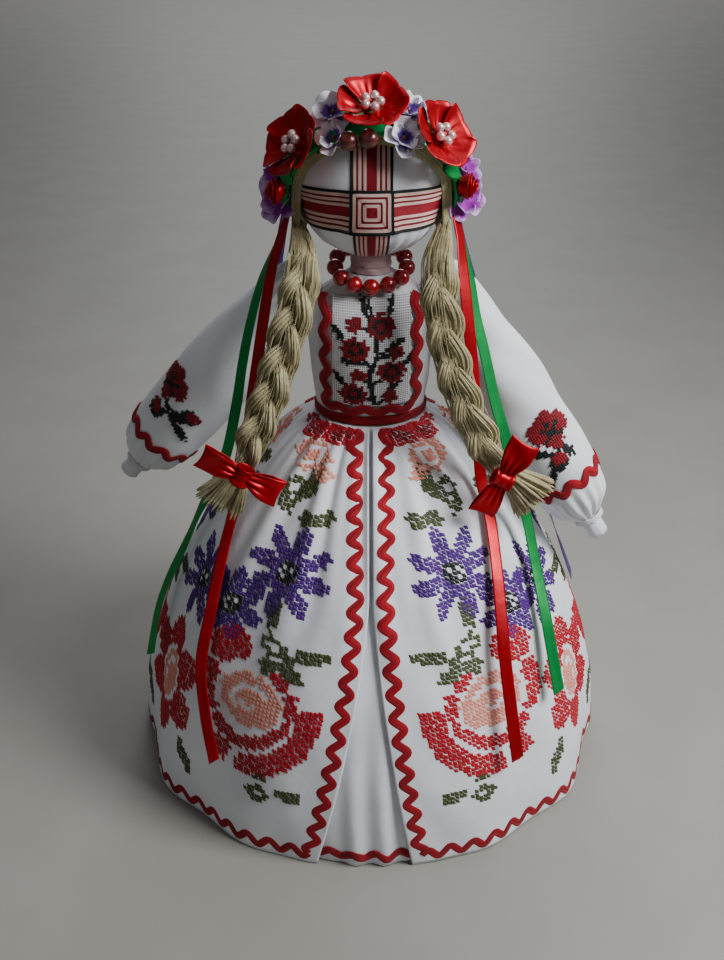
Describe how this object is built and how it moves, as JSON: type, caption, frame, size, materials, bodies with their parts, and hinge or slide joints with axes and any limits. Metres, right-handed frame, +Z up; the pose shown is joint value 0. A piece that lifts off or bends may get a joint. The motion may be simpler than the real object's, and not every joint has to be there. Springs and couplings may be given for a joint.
{
  "type": "amulet doll",
  "caption": "Free-standing folk amulet doll with a thread-wound face cross, flower wreath, flax braids and an embroidered bell skirt.",
  "frame": {"origin": "centre of the base on the table", "axes": "+Z up through the head, -Y the way the doll faces"},
  "size_m": [0.262, 0.2493, 0.3496],
  "materials": {
    "white_cloth": "plain-woven white cotton",
    "neck_cloth": "smooth pinkish cotton",
    "counted_cloth": "open even weave with cross-stitch",
    "red_trim": "woven rick-rack braid",
    "red_satin": "glossy satin",
    "green_satin": "glossy satin",
    "violet_satin": "glossy satin",
    "pansy_cloth": "stiffened cloth petals",
    "flax": "raw combed flax fibre",
    "thread": "wound cotton threads",
    "card": "plain grey-brown board",
    "pearl": "pearl lustre",
    "bead": "red pearl lustre",
    "berry": "glossy lacquer"
  },
  "bodies": {
    "doll": {"base_disc": "card", "skirt_cone": "card", "body_core": "white_cloth", "torso": "white_cloth", "head": "white_cloth", "underskirt": "white_cloth", "overskirt": "white_cloth", "neck_wrap": "neck_cloth", "chest_panel": "counted_cloth", "underskirt_trim": "red_trim", "overskirt_trim": "red_trim", "waist_tie": "red_trim", "chest_trim": "red_trim", "cross_vertical": "thread", "cross_horizontal": "thread", "hair_cap": "flax", "satin_flower_centre": "red_satin", "satin_flower_left": "red_satin", "satin_flower_right": "red_satin", "rosebud_left": "red_satin", "rosebud_right": "red_satin", "wreath_band": "green_satin", "leaf_crown_left": "green_satin", "leaf_side_left": "green_satin", "leaf_side_right": "green_satin", "leaf_brow_right": "green_satin", "leaf_crown": "green_satin", "pansy_crown_left": "pansy_cloth", "pansy_crown_right": "pansy_cloth", "pansy_brow_right": "pansy_cloth", "pansy_ear_left": "pansy_cloth", "pansy_ear_right": "pansy_cloth", "pansy_side_left": "pansy_cloth", "pearls_centre": "pearl", "pearls_left": "pearl", "pearls_right": "pearl", "berry_centre": "berry", "berry_left": "berry"},
    "left_arm": {"sleeve_left": "white_cloth", "arm_left": "white_cloth", "cuff_trim_left": "red_trim", "wrist_tie_left": "white_cloth"},
    "left_braid": {"braid_left": "flax", "tassel_left": "flax", "bow_left": "red_satin"},
    "left_red_ribbon": {"ribbon_red_left": "red_satin"},
    "left_green_ribbon": {"ribbon_green_left": "green_satin"},
    "left_violet_ribbon": {"ribbon_violet_left": "violet_satin"},
    "right_arm": {"sleeve_right": "white_cloth", "arm_right": "white_cloth", "cuff_trim_right": "red_trim", "wrist_tie_right": "white_cloth"},
    "right_braid": {"braid_right": "flax", "tassel_right": "flax", "bow_right": "red_satin"},
    "right_red_ribbon": {"ribbon_red_right": "red_satin"},
    "right_green_ribbon": {"ribbon_green_right": "green_satin"},
    "right_violet_ribbon": {"ribbon_violet_right": "violet_satin"},
    "necklace": {"necklace": "bead"}
  },
  "joints": [
    {"name": "left_shoulder", "type": "hinge", "parent": "doll", "child": "left_arm", "pos_m": [-0.036, 0, 0.252], "axis": [0, 1, 0], "range_deg": [-10, 25]},
    {"name": "left_braid_swing", "type": "hinge", "parent": "doll", "child": "left_braid", "pos_m": [-0.033, -0.0115, 0.287], "axis": [-1, 0, 0], "range_deg": [0, 35]},
    {"name": "left_red_ribbon_swing", "type": "hinge", "parent": "doll", "child": "left_red_ribbon", "pos_m": [-0.0378, -0.0082, 0.2884], "axis": [0, 1, 0], "range_deg": [0, 3]},
    {"name": "left_green_ribbon_swing", "type": "hinge", "parent": "doll", "child": "left_green_ribbon", "pos_m": [-0.0385, 0.0008, 0.2894], "axis": [0, 1, 0], "range_deg": [0, 6]},
    {"name": "left_violet_ribbon_swing", "type": "hinge", "parent": "doll", "child": "left_violet_ribbon", "pos_m": [-0.0378, 0.0076, 0.2942], "axis": [1, 0, 0], "range_deg": [0, 30]},
    {"name": "right_shoulder", "type": "hinge", "parent": "doll", "child": "right_arm", "pos_m": [0.036, 0, 0.252], "axis": [0, -1, 0], "range_deg": [-4, 30]},
    {"name": "right_braid_swing", "type": "hinge", "parent": "doll", "child": "right_braid", "pos_m": [0.033, -0.0115, 0.287], "axis": [-1, 0, 0], "range_deg": [0, 35]},
    {"name": "right_red_ribbon_swing", "type": "hinge", "parent": "doll", "child": "right_red_ribbon", "pos_m": [0.0378, -0.0082, 0.2884], "axis": [0, -1, 0], "range_deg": [0, 3]},
    {"name": "right_green_ribbon_swing", "type": "hinge", "parent": "doll", "child": "right_green_ribbon", "pos_m": [0.0385, 0.0008, 0.2894], "axis": [0, -1, 0], "range_deg": [0, 6]},
    {"name": "right_violet_ribbon_swing", "type": "hinge", "parent": "doll", "child": "right_violet_ribbon", "pos_m": [0.0378, 0.0076, 0.2942], "axis": [1, 0, 0], "range_deg": [0, 30]},
    {"name": "necklace_turn", "type": "hinge", "parent": "doll", "child": "necklace", "pos_m": [0, -0.00174, 0.2632], "axis": [0, -0.342, 0.9397], "continuous": true}
  ]
}
